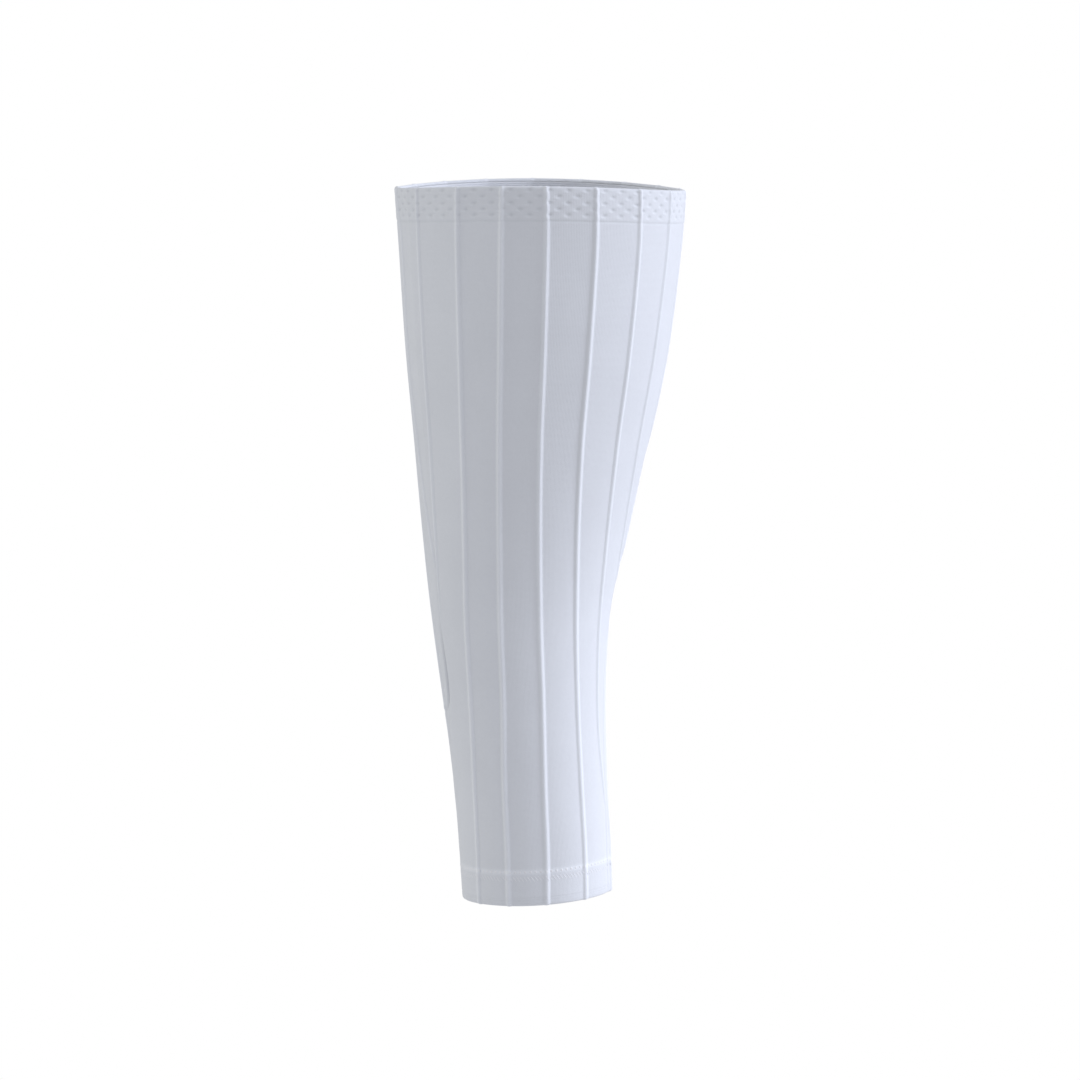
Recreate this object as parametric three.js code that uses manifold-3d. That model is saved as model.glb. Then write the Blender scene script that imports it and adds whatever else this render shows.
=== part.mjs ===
// Calf compression sleeve: a ribbed knit tube for the lower leg, sewn from two shaped panels.
// Millimetres. +Z runs up the leg, -X faces the shin, +X faces the calf, -Y the outer side of the leg.
// The origin is the centre of the grip band, where the sleeve holds on below the knee.

import * as THREE from 'three';
import Module from 'manifold-3d';

const wasm = await Module();
wasm.setup();

// Sizes of the worn sleeve
const SLEEVE_LENGTH = 318.5;
const TOP_WIDTH = 130.6;
const TOP_DEPTH = 120;
const ANKLE_WIDTH = 68;
const ANKLE_DEPTH = 60;
const ANKLE_SHIFT = -1.1;

// The top edge rises at the two sides of the leg, and the bottom edge dips there
const TOP_RISE = 2.8;
const TOP_TILT = -0.6;
const ANKLE_DIP = 1.2;
const ANKLE_TILT = 2;

// Knit and its raised ribs
const KNIT_WALL = 1.2;
const RIB_PITCH = 21.7;
const RIB_WIDTH = 3;
const RIB_HEIGHT = 0.9;

// Layers inside the knit
const LAYER_GAP = 0.3;
const BAND_DEPTH = 15;
const BAND_WALL = 1;
const HEM_DEPTH = 15.5;
const HEM_WALL = 1.2;
const SEAM_GAP = 0.3;
const SEAM_WIDTH = 5;
const SEAM_WALL = 0.8;

// How the sleeve changes from its top edge to its bottom edge, by these columns:
// down: share of SLEEVE_LENGTH below the top edge
// shin, calf: half width on that side, as a share of the way from the ankle's to the top's
// pitch: distance between ribs, as a share of RIB_PITCH
// outerRib, innerRib: middle of each panel's ribs, in degrees round the leg from -Y towards the calf
// shinSeam, calfSeam: the seams, in the same degrees
const SECTIONS = [
  {
    down: 0.00, shin: 1.000, calf: 1.000, pitch: 1.000,
    outerRib: 2.5, innerRib: 192.75, shinSeam: -64.5, calfSeam: 90.0,
  },
  {
    down: 0.08, shin: 0.934, calf: 0.935, pitch: 0.990,
    outerRib: 2.6, innerRib: 192.75, shinSeam: -64.5, calfSeam: 90.0,
  },
  {
    down: 0.23, shin: 0.834, calf: 0.750, pitch: 0.910,
    outerRib: 3.0, innerRib: 192.25, shinSeam: -64.5, calfSeam: 89.0,
  },
  {
    down: 0.36, shin: 0.699, calf: 0.481, pitch: 0.830,
    outerRib: 4.2, innerRib: 191.75, shinSeam: -64.0, calfSeam: 87.5,
  },
  {
    down: 0.48, shin: 0.573, calf: 0.207, pitch: 0.785,
    outerRib: 7.4, innerRib: 190.75, shinSeam: -64.0, calfSeam: 85.5,
  },
  {
    down: 0.60, shin: 0.440, calf: -0.034, pitch: 0.770,
    outerRib: 11.8, innerRib: 188.50, shinSeam: -66.0, calfSeam: 82.5,
  },
  {
    down: 0.72, shin: 0.283, calf: -0.117, pitch: 0.753,
    outerRib: 13.3, innerRib: 186.50, shinSeam: -67.0, calfSeam: 81.0,
  },
  {
    down: 0.84, shin: 0.123, calf: -0.086, pitch: 0.764,
    outerRib: 10.6, innerRib: 184.50, shinSeam: -88.0, calfSeam: 77.0,
  },
  {
    down: 0.93, shin: 0.046, calf: -0.028, pitch: 0.764,
    outerRib: 8.8, innerRib: 182.00, shinSeam: -93.0, calfSeam: 70.0,
  },
  {
    down: 1.00, shin: 0.000, calf: 0.000, pitch: 0.764,
    outerRib: 7.3, innerRib: 181.50, shinSeam: -94.0, calfSeam: 69.0,
  },
];

// How far the outer panel's ribs wander from even spacing, as shares of the pitch, by these columns:
// down: share of SLEEVE_LENGTH below the top edge
// first to seventh: the ribs from the shin to the calf, of which the fourth is the middle one
const RIB_WANDER = [
  { down: 0.0, first: 0.02, second: 0.16, third: 0.12, fourth: 0, fifth: 0.00, sixth: 0.03, seventh: 0.02 },
  { down: 0.4, first: -0.08, second: 0.06, third: 0.03, fourth: 0, fifth: 0.01, sixth: 0.05, seventh: -0.03 },
  { down: 0.7, first: -0.10, second: 0.01, third: -0.02, fourth: 0, fifth: 0.03, sixth: -0.08, seventh: 0.00 },
  { down: 0.8, first: -0.30, second: 0.04, third: -0.03, fourth: 0, fifth: 0.05, sixth: -0.02, seventh: 0.00 },
  { down: 1.0, first: -0.70, second: 0.05, third: 0.00, fourth: 0, fifth: 0.10, sixth: 0.60, seventh: 0.20 },
];
const OUTER_RIBS = ['first', 'second', 'third', 'fourth', 'fifth', 'sixth', 'seventh'];
const MIDDLE_RIB = OUTER_RIBS.indexOf('fourth');

// Half of a rib's cross-section, from its foot to its crest:
// side is a share of half of RIB_WIDTH, lift a share of RIB_HEIGHT
const RIB_PROFILE = [
  { side: 1.0, lift: 0 },
  { side: 0.6, lift: 0.72 },
  { side: 0.0, lift: 1 },
];

// Fineness of the faceted surfaces
const ROWS_DOWN = 20;
const STEPS_BETWEEN_RIBS = 3;
const DEGREES_PER_FACET = 8;
const LAYER_ROWS = 3;

// What a cutting solid or a trimmed edge reaches past the knit
const CUT_REACH = 3;
const CUT_SHARE = 0.02;
const DEGREES_PAST_SEAM = 8;

const FULL_TURN = 360;

// A column of a table at any height, on a smooth curve through its rows
function along(table, column, down) {
  const last = table.length - 1;
  const height = THREE.MathUtils.clamp(down, 0, 1);
  const row = Math.min(table.findLastIndex((entry) => entry.down <= height), last - 1);
  const from = table[row];
  const to = table[row + 1];
  const before = table[Math.max(row - 1, 0)];
  const after = table[Math.min(row + 2, last)];
  const span = to.down - from.down;
  const slopeFrom = span * (to[column] - before[column]) / (to.down - before.down);
  const slopeTo = span * (after[column] - from[column]) / (after.down - from.down);
  const rise = to[column] - from[column];
  const s = (height - from.down) / span;
  const bend = (slopeFrom - rise) * (1 - s) + (rise - slopeTo) * s;
  return from[column] + rise * s + bend * s * (1 - s);
}

// The oval cross-section at a height
function sectionAt(down) {
  const shinAtAnkle = ANKLE_WIDTH / 2 - ANKLE_SHIFT;
  const calfAtAnkle = ANKLE_WIDTH / 2 + ANKLE_SHIFT;
  const shin = shinAtAnkle + along(SECTIONS, 'shin', down) * (TOP_WIDTH / 2 - shinAtAnkle);
  const calf = calfAtAnkle + along(SECTIONS, 'calf', down) * (TOP_WIDTH / 2 - calfAtAnkle);
  const flatness = THREE.MathUtils.lerp(TOP_DEPTH / TOP_WIDTH, ANKLE_DEPTH / ANKLE_WIDTH, down);
  const halfWidth = (shin + calf) / 2;
  return { centre: (calf - shin) / 2, halfWidth, halfDepth: halfWidth * flatness };
}

// Degrees round the section at a height that a length along the knit takes up
function degreesFor(length, down) {
  const { halfWidth, halfDepth } = sectionAt(down);
  return THREE.MathUtils.radToDeg(length / ((halfWidth + halfDepth) / 2));
}

// A point of the sleeve, moved out of its outer face by a length
function pointAt(down, degrees, out) {
  const { centre, halfWidth, halfDepth } = sectionAt(down);
  const angle = THREE.MathUtils.degToRad(degrees);
  const side = Math.sin(angle);
  const front = -Math.cos(angle);
  const normal = new THREE.Vector2(side / halfWidth, front / halfDepth).normalize();
  const topEdge = BAND_DEPTH / 2 + TOP_RISE * front ** 2 + TOP_TILT * side;
  const bottomEdge = BAND_DEPTH / 2 - SLEEVE_LENGTH - ANKLE_DIP * front ** 2 + ANKLE_TILT * side;
  return [
    centre + halfWidth * side + out * normal.x,
    halfDepth * front + out * normal.y,
    THREE.MathUtils.lerp(topEdge, bottomEdge, down),
  ];
}

// Even steps from one number to another, both included
function steps(from, to, count) {
  return Array.from({ length: count + 1 }, (_, index) => from + (to - from) * index / count);
}

// A closed curved wall over columns and rows. Each column gives its degrees at a height,
// and each face its distance out of the sleeve's outer face. A closed wall runs all the way round.
function curvedWall(columns, rows, outerOut, innerOut, closed) {
  const positions = [];
  for (const face of [outerOut, innerOut]) {
    for (const column of columns) {
      for (const down of rows) {
        positions.push(...pointAt(down, column.degrees(down), face(column)));
      }
    }
  }
  const outer = (column, row) => (column % columns.length) * rows.length + row;
  const inner = (column, row) => columns.length * rows.length + outer(column, row);
  const triangles = [];
  const quad = (a, b, c, d) => triangles.push(a, b, c, a, c, d);
  const lastRow = rows.length - 1;
  const lastColumn = columns.length - 1;
  const columnSteps = closed ? columns.length : lastColumn;
  for (let c = 0; c < columnSteps; c += 1) {
    for (let r = 0; r < lastRow; r += 1) {
      quad(outer(c, r), outer(c, r + 1), outer(c + 1, r + 1), outer(c + 1, r));
      quad(inner(c, r), inner(c + 1, r), inner(c + 1, r + 1), inner(c, r + 1));
    }
    quad(outer(c, 0), outer(c + 1, 0), inner(c + 1, 0), inner(c, 0));
    quad(outer(c, lastRow), inner(c, lastRow), inner(c + 1, lastRow), outer(c + 1, lastRow));
  }
  if (!closed) {
    for (let r = 0; r < lastRow; r += 1) {
      quad(outer(0, r), inner(0, r), inner(0, r + 1), outer(0, r + 1));
      quad(outer(lastColumn, r), outer(lastColumn, r + 1), inner(lastColumn, r + 1), inner(lastColumn, r));
    }
  }
  const geometry = new THREE.BufferGeometry();
  geometry.setAttribute('position', new THREE.Float32BufferAttribute(positions, 3));
  geometry.setIndex(triangles);
  return geometry;
}

// A geometry as a solid that can be joined and cut, and back
function toSolid(geometry) {
  const vertProperties = geometry.attributes.position.array;
  const triVerts = new Uint32Array(geometry.index.array);
  return new wasm.Manifold(new wasm.Mesh({ numProp: 3, vertProperties, triVerts }));
}

function toGeometry(solid) {
  const mesh = solid.getMesh();
  const geometry = new THREE.BufferGeometry();
  geometry.setAttribute('position', new THREE.Float32BufferAttribute(mesh.vertProperties, 3));
  geometry.setIndex(Array.from(mesh.triVerts));
  return geometry;
}

// How far a rib of the outer panel strays from even spacing at a height
function wanderOf(rib, down) {
  const column = OUTER_RIBS[rib + MIDDLE_RIB];
  return column ? along(RIB_WANDER, column, down) : 0;
}

// Degrees held back inside two limits: past a limit they bunch up within a few degrees of it,
// so that ribs which have run off the panel stay in order until they are cut away
function bunched(degrees, low, high) {
  const past = Math.max(degrees - high, low - degrees, 0);
  const held = DEGREES_PAST_SEAM * past / (past + DEGREES_PAST_SEAM);
  return THREE.MathUtils.clamp(degrees, low, high) + (degrees > high ? held : -held);
}

// One shaped panel between two seams, with its ribs running down into the seams.
// seams gives the degrees of both edges at a height, and ribDegrees those of a numbered rib.
function panel(seams, ribDegrees, ribs) {
  const rows = steps(0, 1, ROWS_DOWN);
  const columns = [];
  const addColumn = (degrees, lift) => {
    const inOrder = (down) => bunched(degrees(down), ...seams(down));
    columns.push({ degrees: inOrder, lift });
  };
  const foot = (rib, side, down) => ribDegrees(rib, down) + degreesFor(side * RIB_WIDTH / 2, down);
  const rightHalf = RIB_PROFILE.toReversed().slice(1);
  const leftHalf = RIB_PROFILE.map(({ side, lift }) => ({ side: -side, lift }));
  ribs.forEach((rib, index) => {
    for (const { side, lift } of [...leftHalf, ...rightHalf]) {
      addColumn((down) => foot(rib, side, down), lift * RIB_HEIGHT);
    }
    const next = ribs[index + 1];
    if (next !== undefined) {
      for (const share of steps(0, 1, STEPS_BETWEEN_RIBS).slice(1, -1)) {
        addColumn((down) => THREE.MathUtils.lerp(foot(rib, 1, down), foot(next, -1, down), share), 0);
      }
    }
  });
  const ribbed = curvedWall(columns, rows, (column) => column.lift, () => -KNIT_WALL - CUT_REACH, false);
  const edge = (degrees, down, side) => degrees + side * degreesFor(SEAM_GAP / 2, down);
  const between = (down, share) => {
    const [low, high] = seams(down);
    return THREE.MathUtils.lerp(edge(low, down, 1), edge(high, down, -1), share);
  };
  const [lowTop, highTop] = seams(0);
  const facets = Math.ceil((highTop - lowTop) / DEGREES_PER_FACET);
  const cutColumns = steps(0, 1, facets).map((share) => ({ degrees: (down) => between(down, share) }));
  const cutRows = [-CUT_SHARE, ...rows, 1 + CUT_SHARE];
  const shaped = curvedWall(cutColumns, cutRows, () => RIB_HEIGHT + CUT_REACH, () => -KNIT_WALL, false);
  return toGeometry(toSolid(ribbed).intersect(toSolid(shaped)));
}

// Rib numbers for a panel, enough to pass both seams at the top edge.
// offset is where the first rib past the panel's middle stands, in pitches.
function ribNumbers(seams, middle, offset) {
  const [low, high] = seams(0);
  const pitch = degreesFor(RIB_PITCH, 0);
  const first = Math.floor((low - middle) / pitch - offset) + offset;
  const last = Math.ceil((high - middle) / pitch - offset) + offset;
  return steps(first, last, last - first);
}

// The panel on the outer side of the leg, with the middle rib counted as rib 0
function outerLegPanel() {
  const seams = (down) => [along(SECTIONS, 'shinSeam', down), along(SECTIONS, 'calfSeam', down)];
  const ribDegrees = (rib, down) => {
    const pitch = degreesFor(RIB_PITCH * along(SECTIONS, 'pitch', down), down);
    return along(SECTIONS, 'outerRib', down) + (rib + wanderOf(rib, down)) * pitch;
  };
  return panel(seams, ribDegrees, ribNumbers(seams, along(SECTIONS, 'outerRib', 0), 0));
}

// The panel round the shin and the inner side of the leg, with its ribs half a pitch off its middle
function innerLegPanel() {
  const seams = (down) => [
    along(SECTIONS, 'calfSeam', down),
    along(SECTIONS, 'shinSeam', down) + FULL_TURN,
  ];
  const ribDegrees = (rib, down) => {
    const pitch = degreesFor(RIB_PITCH * along(SECTIONS, 'pitch', down), down);
    return along(SECTIONS, 'innerRib', down) + rib * pitch;
  };
  return panel(seams, ribDegrees, ribNumbers(seams, along(SECTIONS, 'innerRib', 0), 0.5));
}

// A ring of cloth all the way round, one gap inside the knit
function layerRing(fromDown, toDown, wall) {
  const facets = Math.round(FULL_TURN / DEGREES_PER_FACET);
  const turn = steps(0, FULL_TURN, facets).slice(0, -1);
  const columns = turn.map((degrees) => ({ degrees: () => degrees }));
  const outer = -KNIT_WALL - LAYER_GAP;
  return curvedWall(columns, steps(fromDown, toDown, LAYER_ROWS), () => outer, () => outer - wall, true);
}

// The flat inside allowance of a seam, between the grip band and the hem
function seamStrip(column) {
  const gap = LAYER_GAP / SLEEVE_LENGTH;
  const top = BAND_DEPTH / SLEEVE_LENGTH + gap;
  const bottom = 1 - HEM_DEPTH / SLEEVE_LENGTH - gap;
  const columns = [-0.5, 0, 0.5].map((share) => ({
    degrees: (down) => along(SECTIONS, column, down) + degreesFor(share * SEAM_WIDTH, down),
  }));
  const outer = -KNIT_WALL - LAYER_GAP;
  return curvedWall(columns, steps(top, bottom, ROWS_DOWN), () => outer, () => outer - SEAM_WALL, false);
}

// Finishes
const whiteKnit = new THREE.MeshStandardMaterial({ color: 0xf1f3f9, roughness: 0.85, metalness: 0 });
const gripKnit = new THREE.MeshStandardMaterial({ color: 0xe3e7f2, roughness: 0.6, metalness: 0 });
const seamThread = new THREE.MeshStandardMaterial({ color: 0xf6f7fb, roughness: 0.75, metalness: 0 });

function named(name, geometry, material) {
  geometry.computeVertexNormals();
  const mesh = new THREE.Mesh(geometry, material);
  mesh.name = name;
  return mesh;
}

const sleeve = new THREE.Group();
sleeve.add(
  named('outer_leg_panel', outerLegPanel(), whiteKnit),
  named('inner_leg_panel', innerLegPanel(), whiteKnit),
  named('grip_band', layerRing(0, BAND_DEPTH / SLEEVE_LENGTH, BAND_WALL), gripKnit),
  named('ankle_hem', layerRing(1 - HEM_DEPTH / SLEEVE_LENGTH, 1, HEM_WALL), whiteKnit),
  named('shin_seam', seamStrip('shinSeam'), seamThread),
  named('calf_seam', seamStrip('calfSeam'), seamThread),
);

export default sleeve;
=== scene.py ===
"""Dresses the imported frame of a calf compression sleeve: a ribbed knit tube for the lower leg."""

import math
from collections import namedtuple

import bpy
import numpy as np
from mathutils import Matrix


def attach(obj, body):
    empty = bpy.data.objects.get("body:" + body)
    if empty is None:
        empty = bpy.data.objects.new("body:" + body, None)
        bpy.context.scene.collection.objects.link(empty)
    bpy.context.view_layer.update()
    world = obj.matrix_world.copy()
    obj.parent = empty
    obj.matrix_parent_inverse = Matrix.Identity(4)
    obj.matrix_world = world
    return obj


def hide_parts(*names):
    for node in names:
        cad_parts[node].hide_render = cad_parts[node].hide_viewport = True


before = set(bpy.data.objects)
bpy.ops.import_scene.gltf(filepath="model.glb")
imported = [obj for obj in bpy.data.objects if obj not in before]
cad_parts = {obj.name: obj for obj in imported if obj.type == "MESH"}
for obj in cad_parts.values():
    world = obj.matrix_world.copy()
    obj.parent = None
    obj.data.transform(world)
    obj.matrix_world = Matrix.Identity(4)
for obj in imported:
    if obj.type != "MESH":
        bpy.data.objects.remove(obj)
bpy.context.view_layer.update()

bl_info = {
    "name": "Calf Compression Sleeve",
    "version": (1, 0, 0),
    "blender": (4, 5, 0),
    "location": "View3D > Sidebar > Sleeve",
    "description": "Builds a ribbed knit calf sleeve with its grip band, hem and seams",
    "category": "Add Mesh",
}

MM = 0.001
TURN = 360.0
BODY = "root"

# Sizes of the worn sleeve, as in the part's source
SLEEVE_LENGTH = 318.5 * MM
TOP_WIDTH = 130.6 * MM
TOP_DEPTH = 120 * MM
ANKLE_WIDTH = 68 * MM
ANKLE_DEPTH = 60 * MM
ANKLE_SHIFT = -1.1 * MM
TOP_RISE = 2.8 * MM
TOP_TILT = -0.6 * MM
ANKLE_DIP = 1.2 * MM
ANKLE_TILT = 2 * MM

# Knit, its ribs and the layers inside it
KNIT_WALL = 1.2 * MM
RIB_PITCH = 21.7 * MM
LAYER_GAP = 0.3 * MM
BAND_DEPTH = 15 * MM
BAND_WALL = 1 * MM
HEM_DEPTH = 15.5 * MM
HEM_WALL = 1.2 * MM
SEAM_WIDTH = 5 * MM
SEAM_WALL = 0.8 * MM

# How the sleeve changes from its top edge to its bottom edge, a column to a line:
# down is a share of the length, shin and calf are the half widths as shares of the way from
# the ankle's to the top's, pitch is a share of RIB_PITCH, and the rest are degrees round the leg
SECTIONS = {
    "down": (0.00, 0.08, 0.23, 0.36, 0.48, 0.60, 0.72, 0.84, 0.93, 1.00),
    "shin": (1.000, 0.934, 0.834, 0.699, 0.573, 0.440, 0.283, 0.123, 0.046, 0.000),
    "calf": (1.000, 0.935, 0.750, 0.481, 0.207, -0.034, -0.117, -0.086, -0.028, 0.000),
    "pitch": (1.000, 0.990, 0.910, 0.830, 0.785, 0.770, 0.753, 0.764, 0.764, 0.764),
    "outer_rib": (2.5, 2.6, 3.0, 4.2, 7.4, 11.8, 13.3, 10.6, 8.8, 7.3),
    "inner_rib": (192.75, 192.75, 192.25, 191.75, 190.75, 188.5, 186.5, 184.5, 182.0, 181.5),
    "shin_seam": (-64.5, -64.5, -64.5, -64.0, -64.0, -66.0, -67.0, -88.0, -93.0, -94.0),
    "calf_seam": (90.0, 90.0, 89.0, 87.5, 85.5, 82.5, 81.0, 77.0, 70.0, 69.0),
}

# How far the outer panel's ribs wander from even spacing, as shares of the pitch
RIB_WANDER = {
    "down": (0.0, 0.4, 0.7, 0.8, 1.0),
    "first": (0.02, -0.08, -0.10, -0.30, -0.70),
    "second": (0.16, 0.06, 0.01, 0.04, 0.05),
    "third": (0.12, 0.03, -0.02, -0.03, 0.00),
    "fifth": (0.00, 0.01, 0.03, 0.05, 0.10),
    "sixth": (0.03, 0.05, -0.08, -0.02, 0.60),
    "seventh": (0.02, -0.03, 0.00, 0.00, 0.20),
}
WANDERING_RIBS = {-3: "first", -2: "second", -1: "third", 1: "fifth", 2: "sixth", 3: "seventh"}

Panel = namedtuple("Panel", "name node middle first_rib last_rib")
OUTER = Panel("outer_panel_knit", "outer_leg_panel", "outer_rib", -5.0, 6.0)
INNER = Panel("inner_panel_knit", "inner_leg_panel", "inner_rib", -6.5, 6.5)

# The seams' groove, as shares of SEAM_GROOVE
SEAM_LOOK = {
    "down": (0.0, 0.35, 0.5, 0.62, 0.75, 1.0),
    "shin": (0.10, 0.10, 0.35, 0.50, 0.30, 0.30),
    "calf": (0.30, 0.30, 0.60, 1.00, 1.00, 0.30),
}

# A soft crease beside the shin seam: its line in degrees, and its depth as a share of CREASE_DEPTH.
# CREASE_STEP is how far up and down its lean is measured, as a share of the length.
CREASE = {
    "down": (0.60, 0.63, 0.67, 0.70, 0.716, 0.729, 0.742, 0.76),
    "line": (-67.0, -66.6, -65.2, -65.8, -67.5, -74.0, -90.0, -100.0),
    "depth": (0.0, 0.5, 0.9, 1.0, 0.9, 0.5, 0.0, 0.0),
}
CREASE_DEPTH = 0.75 * MM
CREASE_HALF = 0.65 * MM
CREASE_RIDGE = 0.25 * MM
CREASE_RIDGE_AWAY = 2.5 * CREASE_HALF
CREASE_RIDGE_HALF = 2 * CREASE_HALF
CREASE_STEP = 0.002
# Painted shade: how much darker the knit's colour is made along the crease
CREASE_SHADE = -0.16

# How flat the cloth is drawn between two ribs: 0 follows the leg, 1 goes straight across
TAUT = {
    "down": (0.0, 0.35, 0.45, 0.60, 0.75, 0.88, 1.0),
    "share": (0.60, 0.55, 0.28, 0.22, 0.15, 0.05, 0.0),
}

# Relief of the knit's outer face
SEAM_CALM = 4 * MM
SEAM_GROOVE = 0.45 * MM
SEAM_GROOVE_HALF = 0.8 * MM
RIB_FADE_AT_SEAM = 1.1 * MM
RIB_ROUNDNESS = 1.4
BAND_RIB_SHARE = 0.85
BAND_RIB_SWAY = 0.13 * MM
BAND_RIB_PHASE = 2
BAND_PUFF = 0.15 * MM
BAND_SOFT_END = 0.2 * MM
BAND_GROOVE = 0.2 * MM
BAND_GROOVE_HALF = 0.4 * MM
DOT_ROWS = (1.5 * MM, 4.2 * MM, 7.1 * MM, 9.75 * MM, 12.25 * MM)
DOTS_ROUND = 48
DOT_PHASE = 0.46
DIMPLE_DEPTH = 0.48 * MM
DIMPLE_HALF_WIDTH = 1.2 * MM
DIMPLE_HALF_HEIGHT = 0.65 * MM
DIMPLE_SLOPE = -0.16
DIMPLE_LOST_ON_RIB = 0.8
LIP_HEIGHT = 0.14 * MM
LIP_ACROSS = -1.1 * MM
LIP_BELOW = 0.8 * MM
STITCH_ROWS = (15.2 * MM, 12.2 * MM)
HEM_RIDGE = 0.06 * MM
HEM_RIDGE_HALF = 1.1 * MM
EDGE_LINES = (1.5 * MM, 2.5 * MM, 3.5 * MM)
EDGE_LINE_DEPTH = 0.15 * MM
EDGE_LINE_HALF = 0.28 * MM

# The dots and the stitches. A dot's half height is a share of its width, and a stitch's half
# thickness a share of half its thread. The upper row has beads, their half size in half threads.
# The lower row has strokes, whose half length and pitch are one share of the upper row's pitch.
DOT_HALF_HEIGHT = 0.33
STITCHES_SUNK = 0.03 * MM
STITCH_RISE = 0.65
BEAD_SIZE = 3
BEAD_SLANT = 90.0
STROKE_LENGTH = 0.7
STROKE_SLANT = -54.0

# The overlocked allowances: their form, the room they keep and the loops of their thread
ALLOWANCE_ROUNDING = 0.6
ALLOWANCE_SIDE_ROOM = 0.1 * MM
ALLOWANCE_FACE_ROOM = 0.12 * MM
ALLOWANCE_END = 1 * MM
LOOP_PITCH = 2.2 * MM
LOOP_SLANT = 0.25
LOOP_RISE = 0.1 * MM

# How much lighter or darker the knit's colour is made there, as shares: the yarn's random
# unevenness, painted shade in the dimples, the grooves and the edge lines, painted highlights on
# the dimples' lips and on the hem's ridge, and on the ribs a lighter yarn with a painted highlight
# on their crests
TONE_REACH = 0.18
UNEVEN_SHARE = 0.27
RIB_YARN_AND_HIGHLIGHT = 0.09
DIMPLE_SHADE = -0.09
LIP_HIGHLIGHT = 0.05
SEAM_GROOVE_SHADE = -0.06
BAND_GROOVE_SHADE = -0.03
HEM_RIDGE_HIGHLIGHT = 0.12
EDGE_LINE_SHADE = -0.03

# Fineness of the grids. The steps are the columns over a rib and between two, in pitches.
RIB_STEPS = np.linspace(-0.1, 0.1, 11)
BETWEEN_STEPS = np.linspace(0.1, 0.9, 27)[1:-1]
BAND_ROW = 0.42 * MM
BODY_ROW = 2.4 * MM
CREASE_ROW = 0.75 * MM
HEM_ROW = 0.4 * MM
FINE_PAST_BAND = 2 * MM
FINE_PAST_HEM = 2.5 * MM
ROLL_STEPS = 9
LINING_ROWS = 60
LINING_COLUMNS = 6
RING_ROW = 0.6 * MM
RING_EDGE_STEPS = 7
BAND_COLUMNS = 264
HEM_COLUMNS = 200
DOT_SIDES = 14
STITCH_SIDES = 8
BEAD_RINGS = 7
ALLOWANCE_ROWS = 560
ALLOWANCE_SIDES = 24
DOME_RINGS = 25
DOME_SIDES = 48
MEASURED_ROWS = 101

# The small steps that give directions on the face, in degrees and as a share of the length
FRAME_TURN = 0.05
FRAME_DROP = 0.0005

# Edges of the rings inside the knit
EDGE_ROUND = 0.2 * MM
EDGE_GAP = 0.05 * MM

# The cloth before it was put on, as shares of the worn sizes
CLOTH_PITCH_SHARE = 0.85
RELAXED_WIDTH = 0.8

# Finishes: depths of the bump, distances between waves, and the parts of the knit's height
KNIT_BUMP = 0.045 * MM
ELASTIC_BUMP = 0.08 * MM
SILICONE_BUMP = 0.02 * MM
THREAD_BUMP = 0.012 * MM
CORD_PITCH = 0.9 * MM
WEFT_PITCH = 0.55 * MM
PLY_PITCH = 0.35 * MM
COURSE_SLANT = 0.8
STITCH_SHARE = 0.6
COLUMN_SHARE = -0.25
FUZZ_SHARE = 0.6

# The view of the photograph, in metres and degrees, with the sensor in millimetres
VIEW_DISTANCE = 2.6
VIEW_PITCH = 5.3
VIEW_CENTRE = (0.0, 0.0, -0.1505)
VIEW_WIDTH = 0.486
SENSOR = 36.0

# The studio: a white dome, a floor far below, two far lamps, and a soft spot on the ankle's half.
# Azimuths run round the sleeve from the side that the photograph shows.
DOME_RADIUS = 6.0
FLOOR_HEIGHT = -1.7
DOME_COLOUR = (1.0, 1.0, 1.0, 1.0)
FLOOR_COLOUR = (0.97, 0.97, 0.975, 1.0)
AIR_COLOUR = (0.957, 0.965, 1.0, 1.0)
COOL_LIGHT = (0.85, 0.885, 1.0)
WARM_LIGHT = (1.0, 0.99, 0.84)
FarLamp = namedtuple("FarLamp", "name softness azimuth elevation colour")
KEY_LAMP = FarLamp("key_lamp", 25.0, 88.0, 18.0, COOL_LIGHT)
RIM_LAMP = FarLamp("rim_lamp", 25.0, -100.0, 16.0, WARM_LIGHT)
SPOT_CENTRE = (0.0, 0.0, -0.285)
SPOT_DISTANCE = 2.0
SPOT_AZIMUTH = 55.0
SPOT_POOL = 0.17
SPOT_SOFTNESS = 0.05


# ---------------- shape of the sleeve

def along(table, column, down):
    """A table's column at each share down the sleeve, on a Catmull-Rom curve through its rows."""
    at, value = np.array(table["down"]), np.array(table[column])
    down = np.clip(np.asarray(down, float), 0, 1)
    row = np.clip(np.searchsorted(at, down, side="right") - 1, 0, len(at) - 2)
    before, after = np.maximum(row - 1, 0), np.minimum(row + 2, len(at) - 1)
    span = at[row + 1] - at[row]
    slope_from = span * (value[row + 1] - value[before]) / (at[row + 1] - at[before])
    slope_to = span * (value[after] - value[row]) / (at[after] - at[row])
    rise = value[row + 1] - value[row]
    s = (down - at[row]) / span
    bend = (slope_from - rise) * (1 - s) + (rise - slope_to) * s
    return value[row] + rise * s + bend * s * (1 - s)


def section(down):
    """Centre, half width and half depth of the oval at each share down the sleeve."""
    shin_ankle, calf_ankle = ANKLE_WIDTH / 2 - ANKLE_SHIFT, ANKLE_WIDTH / 2 + ANKLE_SHIFT
    shin = shin_ankle + along(SECTIONS, "shin", down) * (TOP_WIDTH / 2 - shin_ankle)
    calf = calf_ankle + along(SECTIONS, "calf", down) * (TOP_WIDTH / 2 - calf_ankle)
    top, ankle = TOP_DEPTH / TOP_WIDTH, ANKLE_DEPTH / ANKLE_WIDTH
    flatness = top + (ankle - top) * np.clip(down, 0, 1)
    half = (shin + calf) / 2
    return (calf - shin) / 2, half, half * flatness


def per_degree(down):
    """Metres round the sleeve that one degree takes up at each share down it."""
    _, half_width, half_depth = section(down)
    return np.radians((half_width + half_depth) / 2)


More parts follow.
